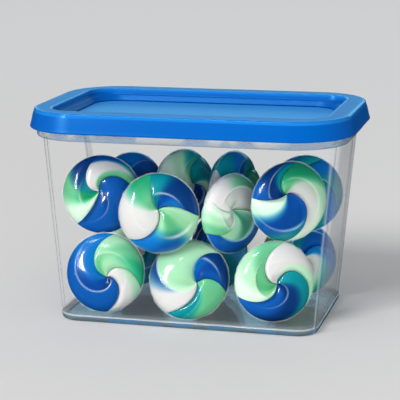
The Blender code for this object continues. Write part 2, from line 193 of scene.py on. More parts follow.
def placeLights(sun, lights):
    data = bpy.data.lights.new("windowLight", "SUN")
    data.energy = sun["strength"]
    data.angle = math.radians(sun["softness"])
    data.color = hexToLinear(sun["colour"])[:3]
    light = bpy.data.objects.new("windowLight", data)
    light.rotation_mode = "QUATERNION"
    light.rotation_quaternion = Vector(sun["direction"]).to_track_quat("Z", "Y")
    light.visible_glossy = False
    bpy.context.scene.collection.objects.link(light)
    for name, (place, aim, width, height, power, colour, reach) in lights.items():
        data = bpy.data.lights.new(name, "AREA")
        data.shape = "RECTANGLE"
        data.size = width * mm
        data.size_y = height * mm
        data.energy = power
        data.color = hexToLinear(colour)[:3]
        light = bpy.data.objects.new(name, data)
        light.location = Vector(place) * mm
        light.rotation_mode = "QUATERNION"
        light.rotation_quaternion = (Vector(aim) - Vector(place)).to_track_quat("-Z", "Y")
        # a card either gives highlights only or fills shadows only
        light.visible_diffuse = reach == "diffuse"
        light.visible_glossy = reach == "gloss"
        bpy.context.scene.collection.objects.link(light)


def makeStage(values):
    material, _, shader = startMaterial("seamlessPaper")
    paper = {
        "Base Color": hexToLinear(values["floorColour"]),
        "Roughness": values["floorRoughness"],
        "Specular IOR Level": values["floorSpecular"],
    }
    setInputs(shader, paper)
    bm = bmesh.new()
    bmesh.ops.create_circle(
        bm, cap_ends=True, radius=values["floorRadius"] * mm, segments=values["floorSteps"]
    )
    mesh = bpy.data.meshes.new("floor")
    bm.to_mesh(mesh)
    bm.free()
    floor = pieceFromMesh("floor", mesh, material)
    floor.visible_glossy = False  # a low gleam of grey floor would turn the lid's end purple

    world = bpy.data.worlds.new("studio")
    world.use_nodes = True
    sky = {"Color": hexToLinear(values["worldColour"]), "Strength": values["worldStrength"]}
    setInputs(world.node_tree.nodes["Background"], sky)
    world.cycles_visibility.glossy = False
    scene = bpy.context.scene
    scene.world = world
    scene.view_settings.view_transform = "Standard"
    scene.cycles.transparent_max_bounces = values["clearLayers"]


placeCamera(cameraValues)
placeLights(sunValues, lightValues)
makeStage(stageValues)
print("camera, lights and floor are in place")


# Rounded-rectangle skins, which the tub and the lid are made of


def roundedLoop(outline, inset, height, steps):
    width, depth, corner = outline
    halfWidth = width / 2 - inset
    halfDepth = depth / 2 - inset
    radius = max(corner - inset, smallestCorner)
    points = []
    for quarter in range(4):
        centreX = (1, -1, -1, 1)[quarter] * (halfWidth - radius)
        centreY = (1, 1, -1, -1)[quarter] * (halfDepth - radius)
        for step in range(steps + 1):
            angle = math.radians(90) * (quarter + step / steps)
            x = centreX + radius * math.cos(angle)
            y = centreY + radius * math.sin(angle)
            points.append(Vector((x, y, height)))
    return points


def arcProfile(inset, height, radius, fromAngle, toAngle, steps):
    # (inset, height) pairs round a centre: angle 0 points outwards and 90 upwards
    pairs = []
    for step in range(steps + 1):
        angle = math.radians(fromAngle + (toAngle - fromAngle) * step / steps)
        pairs.append((inset - radius * math.cos(angle), height + radius * math.sin(angle)))
    return pairs


def skinMesh(name, loops, marks):
    # marks: attribute name -> one value per point, in the order of the loops
    bm = bmesh.new()
    rings = [[bm.verts.new(point * mm) for point in loop] for loop in loops]
    count = len(rings[0])
    for lower, upper in zip(rings, rings[1:]):
        for i in range(count):
            j = (i + 1) % count
            bm.faces.new((lower[i], lower[j], upper[j], upper[i]))
    bm.faces.new(list(reversed(rings[0])))
    bm.faces.new(rings[-1])
    if bm.calc_volume(signed=True) < 0:
        bmesh.ops.reverse_faces(bm, faces=bm.faces[:])
    mesh = bpy.data.meshes.new(name)
    bm.to_mesh(mesh)
    bm.free()
    for mark, values in marks.items():
        mesh.attributes.new(mark, "FLOAT", "POINT").data.foreach_set("value", values)
    return mesh


# Tub

tubValues = {
    "baseWidth": 145.0,
    "baseDepth": 88.0,
    "baseCorner": 12.0,
    "shoulderWidth": 166.8,
    "shoulderDepth": 99.6,
    "shoulderCorner": 26.0,
    "shoulderHeight": 102.3,
    "wall": 1.5,
    "floor": 2.4,
    "floorFillet": 3.0,
    "footHeight": 3.2,
    "footProud": 0.4,
    "footFade": (1.2, 3.0),
    "baseEdge": 1.4,
    "stepRound": 0.3,
    "hemFlare": (0.15, 0.12),
    "bandProud": 2.9,
    "bandHeight": 4.1,
    "bandEdge": 0.5,
    "collarInset": 0.9,
    "collarHeight": 13.1,
    "innerShoulder": 0.4,
    "wallShares": (0.25, 0.5, 0.75),
    "cornerSteps": 36,
    "arcSteps": 4,
    # colours of the plastic: pale where it is thin and under painted highlight, dark where it is
    # thick and in painted shade, and painted blue where it bends in the blue of the pods and the
    # lid
    "tint": "#DDE6EC",
    "thickAndShadedTint": "#48646E",
    "paintedRefractionTint": "#3278A8",
    "patchSize": 14.0,
    "patchRange": (0.4, 0.56),
    "roughness": 0.035,
    "ior": 1.49,
    "rippleSize": 18.0,
    "rippleRelief": (0.12, 0.4),
    # how much it hides what is behind it: over a plain wall, then where plastic piles up, and under
    # the painted corner lines and the painted shade of the floor
    "greyFrom": 0.6,
    "wallCover": (0.0, 0.45),
    "footCover": 0.62,
    "fadeCover": 0.1,
    "stepCover": 0.55,
    "bandCover": 0.56,
    "collarCover": 0.12,
    "floorCover": 0.3,
    "cornerCover": 0.45,
    # painted light: how bright its painted highlight glows, low values giving painted shade, and
    # how much painted blue refraction it shows
    "wallLight": 0.8,
    "footLight": 0.15,
    "fadeLight": 0.5,
    "hemLight": 0.1,
    "browLight": 0.9,
    "collarLight": 0.6,
    "footStray": 0.8,
    "bandStray": 0.95,
    # the painted highlight line down each corner: angle from the long wall, width, and the painted
    # shade line's offset
    "cornerAngle": 62.0,
    "cornerLine": 3.0,
    "cornerShadow": 2.5,
}


def tubOutline(values, height):
    share = height / values["shoulderHeight"]
    return [
        values["base" + side] + (values["shoulder" + side] - values["base" + side]) * share
        for side in ("Width", "Depth", "Corner")
    ]


def bandOutline(values):
    proud = values["bandProud"]
    return (
        values["shoulderWidth"] + 2 * proud,
        values["shoulderDepth"] + 2 * proud,
        values["shoulderCorner"] + proud,
    )


def makeClearPlastic(values):
    # Clarified polypropylene, injection moulded: near colourless and glossy, with the slow
    # ripple that a polished mould leaves
    material, tree, shader = startMaterial("clarifiedPolypropylene")
    depth, light, stray = (
        addNode(tree, attributeKind, {"attribute_name": name}).outputs["Fac"]
        for name in ("depth", "light", "stray")
    )
    place = addNode(tree, placeKind).outputs["Object"]
    patches, ripple = (
        addNode(tree, noiseKind, None, {"Vector": place, "Scale": 1000 / size, "Detail": 1.0})
        for size in (values["patchSize"], values["rippleSize"])
    )
    # the foot and the band get painted patches of blue, a painted refraction of the pods and of the
    # lid
    low, high = values["patchRange"]
    links = {"Value": patches, "From Min": low, "From Max": high, "To Max": stray}
    patchy = addNode(tree, rangeKind, smoothStep, links)
    # painted light: the light mark mixes from the dark tone, painted shade, to the pale tone, a
    # painted highlight
    colour = hexToLinear(values["thickAndShadedTint"])
    for factor, tint in ((light, "tint"), (patchy, "paintedRefractionTint")):
        links = {"Factor": factor, "A": colour, "B": hexToLinear(values[tint])}
        colour = addNode(tree, mixKind, mixColour, links).outputs["Result"]
    # clear face on, and greyer where the eye looks along the wall
    edgeOn = addNode(tree, facingKind, None, {"Blend": 0.5}).outputs["Facing"]
    low, high = values["wallCover"]
    links = {"Value": edgeOn, "From Min": values["greyFrom"], "To Min": low, "To Max": high}
    cover = addNode(tree, rangeKind, smootherStep, links)
    # and denser where the foot and the band pile up plastic, and under the painted corner lines and
    # the floor's painted shade
    total = addNode(tree, mathKind, maximum, [cover, depth])
    strength, height = values["rippleRelief"]
    links = {"Height": ripple, "Strength": strength, "Distance": height * mm}
    bump = addNode(tree, bumpKind, None, links)
    finish = {
        "Base Color": colour,
        "Alpha": total,
        "Roughness": values["roughness"],
        "IOR": values["ior"],
        "Normal": bump,
    }
    setInputs(shader, finish)
    return material


def makeTub(values, material):
    band = bandOutline(values)
    steps = values["cornerSteps"]
    arcSteps = values["arcSteps"]
    shoulder = values["shoulderHeight"]
    bandTop = shoulder + values["bandHeight"]
    rimTop = shoulder + values["collarHeight"]
    wall = values["wall"]
    proud = values["footProud"]
    bandEdge = values["bandEdge"]
    collar = values["collarInset"]
    baseEdge = values["baseEdge"]
    loops = []
    marks = {"depth": [], "light": [], "stray": []}

    def addLoops(outline, profile, depth=0.0, light=1.0, stray=0.0, corners=True):
        # depth is how much plastic the eye looks through, light how bright its painted highlight is
        # (low light is painted shade) and stray how much painted blue refraction it shows
        for inset, height in profile:
            flat = outline(values, height) if callable(outline) else outline
            points = roundedLoop(flat, inset, height, steps)
            loops.append(points)
            for i in range(len(points)):
                # a painted highlight line down each corner, nearer the end wall, and a painted
                # shade line beyond it
                turn = 90 * (i % (steps + 1)) / steps
                if i // (steps + 1) in (0, 2):
                    turn = 90 - turn
                offset = (turn - values["cornerAngle"]) / values["cornerLine"]
                bright = math.exp(-(offset**2)) if corners else 0.0
                dark = math.exp(-((offset - values["cornerShadow"]) ** 2)) if corners else 0.0
                marks["depth"].append(max(depth, values["cornerCover"] * (bright + dark)))
                marks["light"].append(max(light * (1 - dark), bright))
                marks["stray"].append(stray)

    # rounded foot, straight foot band, step in, wall up to the shoulder
    foot = values["footHeight"]
    thick = {"depth": values["footCover"], "stray": values["footStray"]}
    sole = arcProfile(baseEdge, baseEdge, baseEdge, -90, 0, arcSteps)
    # the foot takes the dark tone: thick plastic, with painted shade where it stands on the floor
    addLoops(tubOutline, sole, light=0.0, **thick)
    addLoops(tubOutline, [(0.0, foot - proud)], light=values["footLight"], **thick)
    eased = proud * values["stepRound"]
    addLoops(tubOutline, [(eased, foot - eased), (proud, foot)], values["stepCover"])
    nearFoot, plainAgain = values["footFade"]
    addLoops(tubOutline, [(proud, foot + nearFoot)], values["fadeCover"], values["fadeLight"])
    plain = values["wallLight"]
    out, down = values["hemFlare"]
    wallHeights = [shoulder * share for share in values["wallShares"]]
    rise = [foot + plainAgain, *wallHeights, shoulder - bandEdge]
    addLoops(tubOutline, [(proud, height) for height in rise], light=plain)
    addLoops(tubOutline, [(proud - out, shoulder - down)], light=plain)

    # band under the lid, then the collar that the lid covers
    thick = {"depth": values["bandCover"], "stray": values["bandStray"]}
    hem = arcProfile(bandEdge, shoulder + bandEdge, bandEdge, -90, 0, arcSteps)
    brow = arcProfile(bandEdge, bandTop - bandEdge, bandEdge, 0, 90, arcSteps)
    # the band's hem takes the dark tone, painted shade, and its brow the pale tone, a painted
    # highlight
    addLoops(band, hem, light=values["hemLight"], **thick)
    addLoops(band, brow, light=values["browLight"], **thick)
    bare = {"depth": values["collarCover"], "light": values["collarLight"]}
    addLoops(band, [(collar, bandTop), (collar, rimTop - wall / 2)], **bare)
    addLoops(band, arcProfile(collar + wall / 2, rimTop - wall / 2, wall / 2, 0, 180, 2 * arcSteps))
    inner = shoulder + values["innerShoulder"] * wall
    addLoops(band, [(collar + wall, inner + bandEdge), (collar + wall + bandEdge, inner)])

    # inner wall down to the floor and its fillet
    inset = proud + wall
    fillet = values["floorFillet"]
    fall = [inner - bandEdge, *reversed(wallHeights)]
    addLoops(tubOutline, [(inset, height) for height in fall], light=plain, corners=False)
    for step in range(2 * arcSteps + 1):
        angle = math.radians(90) * step / (2 * arcSteps)
        left = 1 - math.sin(angle)
        point = (inset + fillet * (1 - math.cos(angle)), values["floor"] + fillet * left)
        # the floor is laid in the dark tone as a partly opaque sheet, a painted shade of the pods
        # above it
        cover = values["floorCover"] * math.sin(angle)
        addLoops(tubOutline, [point], cover, plain * left, corners=False)

    piece = pieceFromMesh("tub_shell", skinMesh("tub_shell", loops, marks), material)
    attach(piece, "tub")
    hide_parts("tub")


makeTub(tubValues, makeClearPlastic(tubValues))
print("tub is made")


# Lid

lidValues = {
    "overhang": 3.7,
    "height": 10.6,
    "draft": 2.4,
    "wall": 1.6,
    "edge": 1.3,
    "rimWidth": 11.7,
    "recessCorner": 13.0,
    "recessDepth": 6.5,
    "ledgeDepth": 3.2,
    "ledgeWidth": 3.0,
    "recessDraft": 0.4,
    "recessEdge": 0.7,
    "eased": 0.3,
    "sealWall": 1.2,
    "sealDepth": 6.0,
    "gap": 0.3,
    # skirt outside and inside: share of the draft, share of the height above the hem
    "skirt": ((0.62, 0.62), (0.25, 0.25), (0.06, 0.1)),
    "skirtInside": (0.25, 0.25),
    "underRimDraft": 0.9,
    # the rib's tip: in from its outer face and up from its lowest point, in rib widths
    "sealTip": ((0.0, 0.6), (0.2, 0.2), (0.5, 0.0), (1.0, 0.0)),
    # rings that keep the flat faces flat: how far in from the nearest edge
    "floorRings": (6.0, 1.0),
    "rimRing": 1.0,
    "cornerSteps": 24,
    "arcSteps": 5,
    "browSteps": 8,
    "cloudColours": ("#0056AC", "#005DB6"),
    "cloudSize": 40.0,
    "paintedSheenColour": "#3A94E0",
    "panelRange": (0.4, 0.8),
    "rimPanel": 0.35,
    "edgeHighlightColour": "#2A94E8",
    "edgeHighlightCover": 0.45,
    # how the polished edge and its painted highlight end down the skirt: share of its first
    # stretch, polish there
    "polishAndHighlightEnd": ((0.1, 1.0), (0.3, 0.0)),
    "specular": 0.16,
    "specularTint": "#6CD0FF",
    "ior": 1.49,
    "roughness": (0.31, 0.41),
    "polish": 0.22,
    "grain": 0.35,
    "grainRelief": (0.25, 0.02),
}


def makeLidPlastic(values):
    # Polypropylene, injection moulded in a finely eroded mould: a strong blue with a soft satin
    # sheen, a grain about a third of a millimetre across, and faint flow clouds; the top faces
    # carry a painted sheen and the rounded edges a painted highlight
    material, tree, shader = startMaterial("satinPolypropylene")
    place = addNode(tree, placeKind).outputs["Object"]
    clouds, grain = (
        addNode(tree, noiseKind, None, {"Vector": place, "Scale": 1000 / size, "Detail": detail})
        for size, detail in ((values["cloudSize"], 2.0), (values["grain"], 1.0))
    )
    panel, polish = (
        addNode(tree, attributeKind, {"attribute_name": name}).outputs["Fac"]
        for name in ("panel", "polish")
    )
    # the flat top faces get a painted sheen: their colour pales at a low angle
    edgeOn = addNode(tree, facingKind, None, {"Blend": 0.5}).outputs["Facing"]
    low, high = values["panelRange"]
    links = {"Value": edgeOn, "From Min": low, "From Max": high, "To Max": panel}
    paintedSheen = addNode(tree, rangeKind, smoothStep, links)
    # the rounded edges are smoother than the faces, and a painted highlight makes them a little
    # paler
    edgeHighlight = addNode(tree, mathKind, multiply, [polish, values["edgeHighlightCover"]])
    darker, lighter = values["cloudColours"]
    colour = hexToLinear(darker)
    layers = ((clouds, lighter), (paintedSheen, values["paintedSheenColour"]), (edgeHighlight, values["edgeHighlightColour"]))
    for factor, tint in layers:
        links = {"Factor": factor, "A": colour, "B": hexToLinear(tint)}
        colour = addNode(tree, mixKind, mixColour, links).outputs["Result"]
    low, high = values["roughness"]
    sheen = addNode(tree, rangeKind, None, {"Value": grain, "To Min": low, "To Max": high})
    smoother = addNode(tree, mathKind, multiply, [polish, values["polish"]])
    rough = addNode(tree, mathKind, subtract, [sheen, smoother])
    strength, height = values["grainRelief"]
    links = {"Height": grain, "Strength": strength, "Distance": height * mm}
    bump = addNode(tree, bumpKind, None, links)
    finish = {
        "Base Color": colour,
        "Roughness": rough,
        "Normal": bump,
        "IOR": values["ior"],
        "Specular IOR Level": values["specular"],
        "Specular Tint": hexToLinear(values["specularTint"]),
    }
    setInputs(shader, finish)
    return material


def makeLid(values, tub, material):
    band = bandOutline(tub)
    steps = values["cornerSteps"]
    arcSteps = values["arcSteps"]
    wall = values["wall"]
    edge = values["edge"]
    draft = values["draft"]
    tall = values["height"]
    soft = values["recessEdge"]
    eased = soft * values["eased"]
    slant = values["recessDraft"]
    underRim = tub["shoulderHeight"] + tub["collarHeight"] + values["gap"]
    top = underRim + wall
    hem = top - tall
    overhang = values["overhang"]
    outer = (band[0] + 2 * overhang, band[1] + 2 * overhang, band[2] + overhang)
    recessInset = draft + values["rimWidth"]
    recess = (outer[0] - 2 * recessInset, outer[1] - 2 * recessInset, values["recessCorner"])
    floorInset = values["ledgeWidth"] + 2 * slant
    floor = (
        recess[0] - 2 * floorInset,
        recess[1] - 2 * floorInset,
        values["recessCorner"] + values["ledgeWidth"],
    )
    ledge = top - values["ledgeDepth"]
    bottom = top - values["recessDepth"]
    rimPanel = values["rimPanel"]
    loops = []
    marks = {"panel": [], "polish": []}

    def addLoops(outline, profile, panel=0.0, polish=0.0):
        for inset, height in profile:
            loops.append(roundedLoop(outline, inset, height, steps))
            marks["panel"].extend([panel] * len(loops[-1]))
            marks["polish"].extend([polish] * len(loops[-1]))

    # recess floor, lower wall, ledge, upper wall, then the rim's inner edge
    # panel marks where the painted sheen lies: all of the recess floor, and the rim top in part
    addLoops(floor, [(soft + ring, bottom) for ring in values["floorRings"]], 1.0)
    addLoops(floor, arcProfile(soft, bottom + soft, -soft, 90, 0, arcSteps))
    addLoops(floor, [(-slant, ledge - soft), (-slant - eased, ledge - eased)])
    addLoops(floor, [(-slant - soft, ledge)])
    addLoops(recess, [(slant + soft, ledge), (slant + eased, ledge + eased)])
    addLoops(recess, [(slant, ledge + soft)])
    # the rim's inner rounded edge carries the polish and the painted highlight too
    addLoops(recess, arcProfile(-soft, top - soft, -soft, 0, -90, arcSteps), polish=1.0)
    addLoops(recess, [(-soft - values["rimRing"], top)], rimPanel)

    # rim's rounded outer edge, whose polish and painted highlight fade out a little way down the
    # skirt
    addLoops(outer, [(draft + edge + values["rimRing"], top)], rimPanel)
    brow = arcProfile(draft + edge, top - edge, edge, 0, 90, values["browSteps"])
    addLoops(outer, reversed(brow), polish=1.0)
    skirt = [(draft * share, hem + up * tall) for share, up in values["skirt"]]
    fromInset, fromHeight = draft, top - edge
    toInset, toHeight = skirt[0]
    for share, polish in values["polishAndHighlightEnd"]:
        inset = fromInset + (toInset - fromInset) * share
        height = fromHeight + (toHeight - fromHeight) * share
        addLoops(outer, [(inset, height)], polish=polish)

    # drafted skirt, hem and the skirt's inner side
    addLoops(outer, skirt)
    addLoops(outer, arcProfile(wall / 2, hem + wall / 2, wall / 2, 0, -180, 2 * arcSteps))
    share, up = values["skirtInside"]
    inside = [(wall + share * draft, hem + up * tall)]
    addLoops(outer, inside + [(wall + values["underRimDraft"] * draft, underRim)])

    # seal rib, then the underside of the recess
    seal = tub["collarInset"] + tub["wall"] + values["gap"]
    sealWall = values["sealWall"]
    sealBottom = underRim - values["sealDepth"]
    tip = [(seal + share * sealWall, sealBottom + up * sealWall) for share, up in values["sealTip"]]
    addLoops(band, [(seal, underRim), *tip, (seal + sealWall, underRim)])
    addLoops(recess, [(-wall, underRim), (slant - wall, ledge - wall)])
    addLoops(floor, [(-wall - slant, ledge - wall), (-wall, bottom - wall / 2)])
    addLoops(floor, [(-wall / 2, bottom - wall)])

    piece = pieceFromMesh("lid_shell", skinMesh("lid_shell", loops, marks), material)
    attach(piece, "lid")
    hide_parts("lid")


makeLid(lidValues, tubValues, makeLidPlastic(lidValues))
print("lid is made")


# Pods

podValues = {
    "diameter": 43.7,
    "thickness": 25.0,
    "hubRadius": 0.3,
    "chamberGap": 0.04,
    "edge": 0.7,
    "leadDepth": 0.12,
    "leadPower": 6.0,
    "trailDepth": 0.38,
    "trailPower": 2.6,
    "dimple": 0.3,
    "dimpleRadius": 4.3,
    "rings": 44,
    "around": 60,
    "wobble": 0.2,
    "wobbleScale": 1.7,
    "wobbleSeeds": (3.7, 1.3),
    # the drawn-in fold: its width narrows from seam to seam, and it fades at both ends
    "foldWidths": (0.035, 0.0125),
    "foldRise": 0.035,
    "foldFadeIn": (0.03, 0.18),
    "foldFadeOut": (1.0, 0.45),
    "foldFaintest": 0.35,
    "foldPatches": (0.4, 0.6),
    "terrace": 0.12,
    "terraceWidths": (1.0, -2.0),
    "folds": {
        "blue": (0.1, 1.0, 0.9, 0.15),
        "green": (0.35, 0.4, 0.5, 0.3),
        "white": (0.5, 0.2, 0.15, 0.3),
    },
    # where the middle colour and the end colour come in, as shares of the way across
    "middleColour": (0.2, 0.45),
    "endColour": (0.55, 0.8),
    "leastColour": 0.003,
    "flangeInner": 21.85,
    "flangeOuter": 22.6,
    "flangeThickness": 0.3,
    "flangeRipple": 0.35,
    "flangeRippleScale": 260.0,  # ripples to the metre
    "flangeDraw": 0.02,
    "flangeDrawRange": (0.35, 0.65),
    "flangeSeed": 1.9,
    "flangeSteps": 180,
}

gelValues = {
    # gel: how much light scatters in it, roughness, painted shade tint where it is sunk, painted
    # highlight tint of its fold
    "blue": (0.0, 0.3, "#B0CCE0", "#C0E0F4"),
    "green": (0.15, 0.3, "#C4E6CC", "#F0FAEE"),
    "white": (0.2, 0.35, "#E6F0E8", "#FFFFFF"),
}

filmValues = {
    # the taut film over the gels
    "scatterDepth": 3.0,
    "specular": 0.1,
    "coat": 0.4,
    "coatRoughness": 0.04,
    "coatIor": 1.5,
    "thinRange": (0.4, 0.1),
    "thinMost": 0.35,
    # how far the fold's painted highlight goes towards its pale tint
    "foldHighlightMost": 0.8,
    "creaseSize": 3.0,
    "creaseRelief": (0.15, 0.15),
    # the sealed edge
    "colour": "#EAF3F2",
    "roughness": 0.12,
    "alpha": 0.2,
    "ior": 1.48,
}

gelColours = {
    "navy": "#003876",
    "blue": "#0054A4",
    "azure": "#0070BE",
    # sky: a paler blue, painted light on the pods at the back that little light reaches
    "sky": "#3C98CC",
    "teal": "#008A94",
    "green": "#66BC8A",
    "deep": "#1E9A6A",
    "pale": "#A4DAB2",
    "mint": "#D6F2DA",
    "white": "#D6D6D4",
}

# Each pod: lean, yaw, where the swirl's hub lies across and up the face as shares of its
# radius, then three chambers clockwise. A chamber has its gel, its leading seam (angle at
# the rim, twist up to the hub, how late it curls), and its colours from leading seam to
# trailing seam, three names for the hub side of its fold and three for the rim side. A
# fold of its own follows where the photograph shows one: its share of the radius at the
# leading seam, how much that grows up to the trailing seam, how strong the fold is and how
# softly the colours meet across it
podTable = {
    1: (5, 10, (-0.02, 0.11), (
        ("white", (93, 80, 1.0), "white white green", "blue teal deep", (0.84, 0.2, 0.2, 0.05)),
        ("blue", (-20, 105, 2.0), "blue navy blue", "blue blue blue", (-0.55, 1.45, 0.7, 0.1)),
        ("green", (-130, 20, 1.0), "mint deep teal", "mint green navy", (0.45, 0.1, 0.7, 0.2)))),
    2: (4, 8, (0.03, 0.13), (
        ("blue", (100, 15, 1.0), "teal blue azure", "teal navy navy", (0.43, 0.23, 0.9, 0.1)),
        ("green", (-3, 60, 0.5), "pale green pale", "pale blue azure", (0.95, -0.5, 0.6, 0.2)),
        ("white", (-140, 70, 1.0), "white white green", "white white deep"))),
    3: (2, 62, (-0.33, 0.18), (
        ("green", (200, 65, 1.0), "white white mint", "green pale mint", (0.5, 0.1, 0.7, 0.2)),
        ("white", (150, 30, 1.0), "white white white", "white green pale", (0.62, 0.1, 0.6, 0.08)),
        ("blue", (-20, 25, 1.0), "pale green pale", "azure blue blue", (0.5, 0.27, 1.0, 0.04)))),
    4: (0, 36, (-0.19, 0.27), (
        ("blue", (170, 15, 1.0), "navy navy teal", "blue navy navy", (0.54, 0.5, 0.8, 0.2)),
        ("green", (82, 70, 1.0), "green white white", "deep pale mint", (0.5, 0.3, 0.4, 0.2)),
        ("blue", (-100, 125, 1.0), "blue blue mint", "teal blue pale", (0.58, 0.49, 0.8, 0.2)))),
    5: (15, 6, (0.10, -0.11), (
        ("green", (78, 90, 1.0), "green pale pale", "pale green deep", (0.5, 0.2, 0.4, 0.3)),
        ("white", (-22, 85, 1.0), "white white white", "pale white white"),
        ("blue", (-85, 80, 1.0), "navy blue azure", "blue blue azure", (0.1, 1.0, 1.0, 0.1)))),
    6: (24, 6, (0.25, -0.12), (
        ("blue", (42, 70, 1.0), "azure blue blue", "navy navy navy", (0.6, 0.2, 0.9, 0.1)),
        ("green", (-17, 40, 1.0), "pale mint teal", "green green teal", (-2.84, 5.0, 0.7, 0.3)),
        ("white", (-120, 55, 1.0), "mint pale pale", "white navy teal", (-0.1, 2.2, 0.7, 0.05)))),
    7: (6, 26, (-0.02, 0.0), (
        ("blue", (-45, 105, 2.0), "teal navy blue", "teal navy blue", (-0.35, 1.2, 1.0, 0.1)),
        ("green", (-162, 65, 1.0), "pale green green", "mint pale green", (0.42, 0.3, 0.9, 0.06)),
        ("white", (-285, 100, 1.0), "white white mint", "white white pale"))),
    8: (8, 52, (0.05, 0.06), (
        ("blue", (40, 90, 1.0), "blue navy blue", "blue blue teal"),
        ("green", (-80, 80, 1.0), "teal sky teal", "sky sky azure"),
        ("white", (-200, 95, 1.0), "white white white", "mint white white"))),
    9: (6, -34, (-0.08, 0.04), (
        ("blue", (150, 85, 1.0), "blue navy blue", "blue navy teal"),
        ("green", (20, 95, 1.0), "teal sky sky", "sky teal green"),
        ("white", (-95, 90, 1.0), "white white white", "mint white white"))),
    10: (20, 24, (0.06, -0.05), (
        ("blue", (130, 90, 1.0), "green teal blue", "green azure azure"),
        ("white", (-5, 80, 1.0), "azure white white", "azure teal green"),
        ("green", (-110, 90, 1.0), "green green green", "pale green green"))),
    11: (6, 50, (0.05, -0.04), (
        ("blue", (170, 85, 1.0), "blue azure blue", "teal azure blue"),
        ("white", (10, 90, 1.0), "white white white", "white mint white"),
        ("green", (-100, 95, 1.0), "green green deep", "green deep teal"))),
    12: (8, 60, (0.04, 0.08), (
        ("green", (160, 90, 1.0), "white mint green", "mint pale teal"),
        ("white", (40, 90, 1.0), "teal teal mint", "teal azure pale"),
        ("blue", (-80, 80, 1.0), "blue blue blue", "blue azure blue"))),
    13: (6, 70, (-0.06, 0.05), (
        ("blue", (140, 95, 1.0), "azure blue teal", "teal azure teal"),
        ("green", (10, 85, 1.0), "green green deep", "deep green green"),
        ("white", (-110, 90, 1.0), "white white white", "mint white white"))),
    14: (6, 25, (-0.05, 0.05), (
        ("blue", (60, 90, 1.0), "blue teal azure", "azure teal azure"),
        ("white", (-70, 80, 1.0), "white mint white", "teal mint mint"),
        ("green", (-180, 90, 1.0), "green green green", "teal azure teal"))),
}


def startTree(name, inputs):
    # inputs: kind of socket -> labels; every tree also takes a turn, a place and a material
    tree = bpy.data.node_groups.new(name, "GeometryNodeTree")
    shared = {"Rotation": ("Turn",), "Vector": ("Place",), "Material": ("Material",)}
    for sockets in (inputs, shared):
        for kind, labels in sockets.items():
            for label in labels:
                tree.interface.new_socket(label, in_out="INPUT", socket_type="NodeSocket" + kind)
    tree.interface.new_socket("Geometry", in_out="OUTPUT", socket_type="NodeSocketGeometry")
    return tree, addNode(tree, "NodeGroupInput").outputs


def finishTree(tree, given, geometry):
    # every tree ends the same way: turn and place it, make instances real, set the material
    links = {0: geometry, "Rotation": given["Turn"], "Translation": given["Place"]}
    placed = addNode(tree, "GeometryNodeTransform", None, links)
    smooth = addNode(tree, "GeometryNodeSetShadeSmooth", None, [placed])
    real = addNode(tree, "GeometryNodeRealizeInstances", None, [smooth])
    links = {0: real, "Material": given["Material"]}
    dressed = addNode(tree, "GeometryNodeSetMaterial", None, links)
    addNode(tree, "NodeGroupOutput", None, [dressed])


